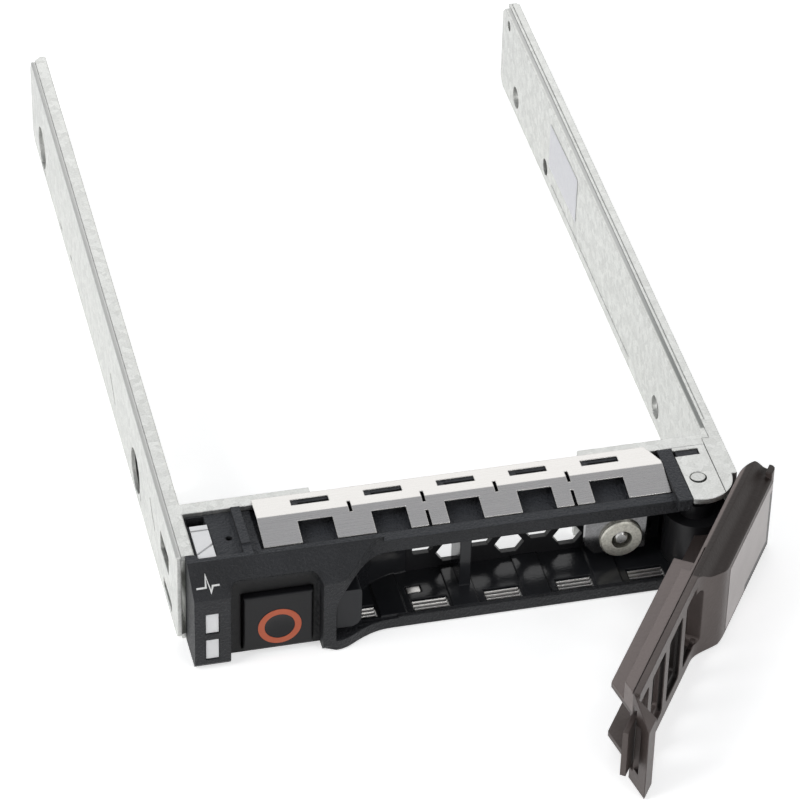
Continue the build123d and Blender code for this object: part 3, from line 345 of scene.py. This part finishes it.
# %% Flake filled resin
handle_brown = moulded_plastic(
    "flake_filled_resin", "#4c4340", "#574e4b", 0.36, 0.5, ERODED_MM, 0.8, 0.25, 0.5
)
tree = handle_brown.node_tree
tree.nodes[SHADER].inputs["Metallic"].default_value = 0.35
place = in_handle(tree)
rim_highlight = box_mask(tree, place, (-50.0, -5.2, 10.7), (10.0, 1.0, 15.0))
# Painted highlight along the handle's rim.
overlay(handle_brown, rim_highlight, "#766c69")
bulge_shade_zone = box_mask(tree, place, (-19.0, -9.0, 9.0), (7.2, -5.1, 15.0), 0.2)
# Painted shade on the faces of the bulge that look up.
overlay(handle_brown, upward_part(tree, bulge_shade_zone, 0.25, 0.5), "#251c18")
vent_shade = box_mask(tree, place, (-32.0, -5.93, 1.6), (-19.2, -3.0, 12.9), 0.1)
# Painted shade deep in the handle's vents.
overlay(handle_brown, vent_shade, "#1c1715")
wear(["lever"], handle_brown)
print("handle nodes:", len(tree.nodes))

# %% [markdown]
# ## The bare label plate
# A pale satin plate fills the handle's end. The gap along its right and lower edges is so narrow that it
# closes up at the camera's flat angle, so the shade in that gap is painted as a black border beside it.

# %% Label plate
label_face = moulded_plastic("label_plate_resin", "#9b9492", "#a69f9d", 0.3, 0.42, PIT_MM, 0.05, 0.1, 0.5)
tree = label_face.node_tree
tree.nodes[SHADER].inputs["Metallic"].default_value = 0.4
place = in_handle(tree)
# Painted shade: a black border along the right and lower edges, where the gap's shade falls.
for low_mm, high_mm in (((5.0, -9.2, -1.0), (7.5, -7.0, 9.9)), ((-4.6, -9.2, -1.0), (7.5, -7.0, 1.8))):
    overlay(label_face, box_mask(tree, place, low_mm, high_mm, 0.05), "#0b0a0a")
wear(["lever_label_plate"], label_face)
print("label plate nodes:", len(tree.nodes))

# %% [markdown]
# ## Rolled spring steel
# The contact strips are stamped from hard rolled stainless strip. Rolling leaves hair lines along the strip,
# about a twentieth of a millimetre apart, so a noise stretched along the tray's width drives the gloss.

# %% Stainless spring strip
HAIR_LINE_MM = 0.05
HAIR_LENGTH_MM = 6.0
spring_steel, tree, shader, place = new_material("rolled_stainless", Metallic=1.0, Roughness=0.3)
across = per_metre(HAIR_LINE_MM)
stretched = add_node(
    tree, "ShaderNodeMapping", {"Scale": (per_metre(HAIR_LENGTH_MM), across, across)}, {"Vector": place}
).outputs["Vector"]
lines = add_node(
    tree, "ShaderNodeTexNoise", {"Scale": 1.0, "Detail": 2.0}, {"Vector": stretched}
).outputs["Fac"]
tint_and_gloss(tree, shader, lines, "#cfcdca", "#d6d4d1", lines, 0.24, 0.31)
relief(tree, shader, lines, edge_mm=0.18, strength=0.03, depth_mm=0.01)
wear(["emi_strip_top", "emi_strip_bottom"], spring_steel)
print("hair lines per metre:", round(across))

# %% [markdown]
# ## Turned and plated fittings
# The bush, its stud, the pin and the rivets are turned on a lathe and plated, with a slight mottle about a
# third of a millimetre wide. The polished bracket behind the bush is the glossiest metal.

# %% Plated steel
MOTTLE_MM = 0.3


def plated_steel(name, dark, light, rough_low, rough_high):
    """Plated metal with a faint mottle in colour and gloss."""
    made, tree, shader, place = new_material(name, Metallic=1.0)
    mottle = add_node(
        tree, "ShaderNodeTexNoise", {"Scale": per_metre(MOTTLE_MM), "Detail": 3.0}, {"Vector": place}
    ).outputs["Fac"]
    tint_and_gloss(tree, shader, mottle, dark, light, mottle, rough_low, rough_high)
    return made


pin_steel = plated_steel("zinc_plated_pin", "#b9bab7", "#cfd0cd", 0.35, 0.45)
spring_wire = plated_steel("drawn_spring_wire", "#4a4a4b", "#5c5c5d", 0.25, 0.4)
wear(["pivot_pin"], pin_steel)
wear(["torsion_spring"], spring_wire)
wear(["flanged_bush"], plated_steel("nickel_plated_bush", "#cbc9be", "#f0eee4", 0.4, 0.55))
wear(["bush_stud", "bezel_rivets"], plated_steel("turned_bright_steel", "#b9b9b7", "#cececc", 0.18, 0.3))
wear(["bush_bracket"], plated_steel("polished_bracket", "#737374", "#8c8c8d", 0.1, 0.2))
print("mottle scale:", round(per_metre(MOTTLE_MM)))

# %% [markdown]
# ## The staked pin
# The pin's head is staked into the pivot plate with a round punch, which leaves a crescent in its top. All
# that lies beyond the punch's radius gets painted shade, and the punch stood a little behind the pin's
# middle.

# %% Painted shade on the pin beyond the punch
PUNCH_MIDDLE = Vector((32.2, -8.2, 14.0)) * MM
PUNCH_RADIUS_MM = 1.0
tree = pin_steel.node_tree
place = add_node(tree, "ShaderNodeTexCoord").outputs["Object"]
off_middle = add_node(
    tree, "ShaderNodeVectorMath", {1: tuple(PUNCH_MIDDLE)}, {0: place}, operation="DISTANCE"
).outputs["Value"]
beyond_punch_shade = add_node(
    tree, "ShaderNodeMapRange", {"From Min": PUNCH_RADIUS_MM * MM, "From Max": (PUNCH_RADIUS_MM + 0.06) * MM},
    {"Value": off_middle},
).outputs["Result"]
# Painted shade on the pin outside the punch's disc.
overlay(pin_steel, beyond_punch_shade, "#2a2b2a")
print("pin nodes:", len(tree.nodes))

# %% [markdown]
# ## The latch's return spring
# A coil of round wire pushes the latch back out and shortens when the latch slides in. A wound tube of mesh
# stands for the solid one.

# %% Mesh pieces and the coil
WIRE_MM = 0.16
COIL_TURNS = 4
STEPS_A_TURN = 20
WIRE_SIDES = 10


def mesh_piece(name, corners, faces, finish):
    """A new piece from its corners in metres and its faces, with its finish on it."""
    mesh = bpy.data.meshes.new(name)
    mesh.from_pydata(corners, [], faces)
    mesh.materials.append(finish)
    made = bpy.data.objects.new(name, mesh)
    bpy.context.scene.collection.objects.link(made)
    return made


def coil(name, low, high, finish):
    """Round wire wound along x so that it fills a box."""
    wire = WIRE_MM * MM
    centre = (low + high) / 2
    radius = (high.z - low.z) / 2 - wire
    steps = COIL_TURNS * STEPS_A_TURN
    run = high.x - low.x - 2 * wire
    corners = []
    for i in range(steps + 1):
        turned = 2 * math.pi * i / STEPS_A_TURN
        outward = Vector((0, math.cos(turned), math.sin(turned)))
        spot = Vector((high.x - wire - run * i / steps, centre.y, centre.z))
        for k in range(WIRE_SIDES):
            around = 2 * math.pi * k / WIRE_SIDES
            along = Vector((wire * math.sin(around), 0, 0))
            corners.append(spot + outward * (radius + wire * math.cos(around)) + along)
    rings = [[i * WIRE_SIDES + k for k in range(WIRE_SIDES)] for i in range(steps + 1)]
    faces = [
        (first[k], first[k - 1], second[k - 1], second[k])
        for first, second in zip(rings, rings[1:]) for k in range(WIRE_SIDES)
    ]
    made = mesh_piece(name, corners, faces + [rings[0], rings[-1][::-1]], finish)
    for face in made.data.polygons:
        face.use_smooth = len(face.vertices) == 4
    return made


print("wire thickness:", 2 * WIRE_MM, "mm")

# %% Coiled return spring
spring_low, spring_high = (Vector(corner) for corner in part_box("latch_spring"))
return_spring = coil("latch_return_coil", spring_low, spring_high, spring_wire)
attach(return_spring, "carrier")
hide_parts("latch_spring")
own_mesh(return_spring)

# %% [markdown]
# ## Coloured ring and light pipes
# The ring in the button is an orange inlay. The light pipes are clear acrylic with frosted ends, which
# scatter what light comes in and look pale grey when the lamps behind them are off.

# %% Inlay and acrylic
ring_orange = moulded_plastic("inlay_orange_abs", "#c25a38", "#cb6745", 0.32, 0.42, PIT_MM, 0.05, 0.05, 0.4)
wear(["button_ring"], ring_orange)
HAZE_MM = 0.8
SCATTER_MM = 0.6
acrylic, tree, shader, place = new_material("frosted_acrylic", IOR=1.49, Subsurface_Weight=0.15)
shader.inputs["Subsurface Radius"].default_value = (SCATTER_MM * MM,) * 3
shader.inputs["Subsurface Scale"].default_value = 1.0
haze = add_node(
    tree, "ShaderNodeTexNoise", {"Scale": per_metre(HAZE_MM), "Detail": 2.0}, {"Vector": place}
).outputs["Fac"]
tint_and_gloss(tree, shader, haze, "#fafafa", "#fdfdfd", haze, 0.25, 0.4)
wear(["light_pipe_upper", "light_pipe_lower"], acrylic)
print("inlay and acrylic set")

# %% [markdown]
# ## The pulse mark
# A white pulse line is printed on the slanted face above the lamp windows. A print has hardly any height,
# so it is a thin flat ribbon of mesh laid on that slope, a few hundredths of a millimetre proud.

# %% Ribbon on the slope
KNEE_Y, KNEE_Z = -16.4, 11.5
RIDGE_Y, RIDGE_Z = -11.7, 14.0
slope = Vector((0, RIDGE_Y - KNEE_Y, RIDGE_Z - KNEE_Z)).normalized()
slope_normal = Vector((1, 0, 0)).cross(slope)


def ribbon(name, points, width, lift, finish):
    """Flat printed line along points given in millimetres across and up the slanted face."""
    flat = [Vector(p) for p in points]
    corners = []
    for i, here in enumerate(flat):
        before = (here - flat[i - 1]).normalized() if i else (flat[1] - here).normalized()
        after = (flat[i + 1] - here).normalized() if i < len(flat) - 1 else before
        middle = (before + after).normalized()
        normal = Vector((-middle.y, middle.x))
        lean = max(abs(normal.dot(Vector((-before.y, before.x)))), 0.3)
        reach = min(width / 2 / lean, width * 1.3)
        for p in (here + normal * reach, here - normal * reach):
            spot = Vector((p.x, KNEE_Y, KNEE_Z)) + slope * p.y + slope_normal * lift
            corners.append(spot * MM)
    faces = [(2 * i, 2 * i + 1, 2 * i + 3, 2 * i + 2) for i in range(len(flat) - 1)]
    return mesh_piece(name, corners, faces, finish)


print("slope rises", round(math.degrees(math.atan2(slope.z, slope.y))), "degrees")

# %% Printed pulse line
PULSE_POINTS = [(-35.84, 1.75), (-34.6, 1.78), (-34.42, 3.45), (-34.02, 1.08), (-33.7, 1.92), (-32.8, 1.94)]
ink, tree, shader, place = new_material("white_print_ink", Roughness=0.5, IOR=1.5)
ink_grain = add_node(tree, "ShaderNodeTexNoise", {"Scale": per_metre(0.3)}, {"Vector": place}).outputs["Fac"]
tree.links.new(two_tone(tree, ink_grain, "#e4e4e2", "#f4f4f2", 0.3, 0.7), shader.inputs["Base Color"])
pulse = ribbon("pulse_print", PULSE_POINTS, width=0.26, lift=0.03, finish=ink)
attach(pulse, "carrier")
print("pulse line across", round(pulse.dimensions.x / MM, 2), "mm")

# %% [markdown]
# ## The bare paper label
# A small white label sits on the inner face of the right rail. Its print is left off, so it is a plain
# paper patch, a twentieth of a millimetre proud of the steel, with the fibres of paper in its colour.

# %% Bare label patch
LABEL_X = 35.05
LABEL_OUTLINE = [(62.0, 4.2), (77.0, 3.9), (77.0, 11.4), (62.0, 11.7)]
paper, tree, shader, place = new_material("label_paper", Roughness=0.55, IOR=1.45)
fibre = add_node(
    tree, "ShaderNodeTexNoise", {"Scale": per_metre(0.6), "Detail": 4.0}, {"Vector": place}
).outputs["Fac"]
tree.links.new(two_tone(tree, fibre, "#f4f4f8", "#fbfbfe", 0.3, 0.7), shader.inputs["Base Color"])
label_corners = [Vector((LABEL_X, y, z)) * MM for y, z in LABEL_OUTLINE]
rail_label = mesh_piece("rail_label", label_corners, [(0, 1, 2, 3)], paper)
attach(rail_label, "carrier")
print("label patch", [round(v / MM, 1) for v in rail_label.dimensions], "mm")

# %% [markdown]
# ## Floor and background
# The photograph is a plain packshot on white. A pale floor and a pale world give that. What the camera sees
# of them is made white through the light path, and mirrors and clear plastic see it too, while the light
# that falls on the object stays at a plain level and the floor keeps the object's shadow.

# %% Who sees the white
def seen_white(tree):
    """1 for rays that show the background: the camera's, mirrored ones and those through clear plastic."""
    rays = add_node(tree, "ShaderNodeLightPath").outputs
    seen = rays["Is Camera Ray"]
    for other in ("Is Glossy Ray", "Is Transmission Ray"):
        seen = add_node(
            tree, "ShaderNodeMath", links={0: seen, 1: rays[other]}, operation="MAXIMUM"
        ).outputs["Value"]
    return seen


print("background helper ready")

# %% Floor
FLOOR_SIZE_M = 6.0
FLOOR_DROP_MM = 0.2
FLOOR_GLOW = 0.55
bpy.ops.mesh.primitive_plane_add(size=FLOOR_SIZE_M, location=(0, 0, -FLOOR_DROP_MM * MM))
floor = bpy.context.object
floor.name = "floor"
floor_paint, tree, shader, place = new_material("pale_floor", Roughness=0.85)
weave = add_node(tree, "ShaderNodeTexNoise", {"Scale": 40.0}, {"Vector": place}).outputs["Fac"]
tree.links.new(two_tone(tree, weave, "#f4f4f3", "#f6f6f5"), shader.inputs["Base Color"])
shader.inputs["Emission Color"].default_value = linear("#ffffff")
glow = add_node(
    tree, "ShaderNodeMath", {1: FLOOR_GLOW}, {0: seen_white(tree)}, operation="MULTIPLY"
).outputs["Value"]
tree.links.new(glow, shader.inputs["Emission Strength"])
floor.data.materials.append(floor_paint)
print("floor at", round(floor.location.z / MM, 2), "mm")

# %% [markdown]
# ## The studio's ceiling
# In a white studio the walls are bright and the ceiling is dimmer. Flat tops mirror the wall behind the
# tray and slanted pads mirror the ceiling, and that difference is what makes bent steel look bent. So the
# world that is seen in mirrors goes from white at the wall to grey overhead.

# %% World
world = bpy.data.worlds.new("studio_white")
bpy.context.scene.world = world
world.use_nodes = True
tree = world.node_tree
tree.nodes.clear()
soft = add_node(tree, "ShaderNodeBackground", {"Color": linear("#eef0f4"), "Strength": 0.42})
direction = add_node(tree, "ShaderNodeTexCoord").outputs["Generated"]
height = add_node(tree, "ShaderNodeSeparateXYZ", links={"Vector": direction}).outputs["Z"]
ceiling = two_tone(tree, height, "#ffffff", "#a8a8aa", 0.5, 0.85)
zenith = ceiling.node.color_ramp.elements.new(1.0)
zenith.color = linear("#b6bac4")
white = add_node(tree, "ShaderNodeBackground", {"Strength": 1.0}, {"Color": ceiling})
mix = add_node(
    tree, "ShaderNodeMixShader",
    links={0: seen_white(tree), 1: soft.outputs["Background"], 2: white.outputs["Background"]},
)
add_node(tree, "ShaderNodeOutputWorld", links={"Surface": mix.outputs["Shader"]})
print("world nodes:", len(tree.nodes))

# %% [markdown]
# ## Soft lamps
# Three large square lamps give gentle gradients: one at the left lights the plate beside the bezel, one
# behind lights the tops, and one in front fills the window. Their power stays low, so no steel burns out.

# %% Three lamps
def soft_lamp(name, place_m, aim_m, size_m, watts):
    """Square area lamp that looks at a point."""
    lamp = bpy.data.lights.new(name, "AREA")
    lamp.size = size_m
    lamp.energy = watts
    held = bpy.data.objects.new(name, lamp)
    held.location = place_m
    held.rotation_euler = (Vector(aim_m) - Vector(place_m)).to_track_quat("-Z", "Y").to_euler()
    bpy.context.scene.collection.objects.link(held)
    return held


TRAY_MIDDLE = (0.0, 0.03, 0.0)
soft_lamp("lamp_left", (-0.55, -0.15, 0.45), TRAY_MIDDLE, 0.3, 1.6)
soft_lamp("lamp_rear", (0.12, 0.62, 0.45), TRAY_MIDDLE, 0.5, 0.55)
soft_lamp("lamp_front", (0.35, -0.6, 0.35), TRAY_MIDDLE, 0.3, 1.1)

# %% [markdown]
# ## The camera
# The photograph was taken from the front left, about forty degrees above the tray, with a long lens. The
# camera stands at the place that makes the rails' corners fall where the photograph has them.

# %% Camera
CAMERA_AXES = {
    "right": (0.97322566, -0.22897028, 0.02011019),
    "up": (0.12787635, 0.61207253, 0.78039404),
    "back": (-0.19099593, -0.75692789, 0.62496458),
}
CAMERA_PLACE = Vector((-107.4887, -401.7018, 358.2202)) * MM
lens = bpy.data.cameras.new("packshot_camera")
lens.sensor_width = 36.0
lens.lens = 185.656
lens.clip_start = 0.01
camera = bpy.data.objects.new("packshot_camera", lens)
turned = Matrix(list(CAMERA_AXES.values())).transposed().to_4x4()
camera.matrix_world = Matrix.Translation(CAMERA_PLACE) @ turned
bpy.context.scene.collection.objects.link(camera)
bpy.context.scene.camera = camera
bpy.context.scene.view_settings.view_transform = "Standard"
print("camera is", round((CAMERA_PLACE - Vector(TRAY_MIDDLE)).length, 3), "m away")
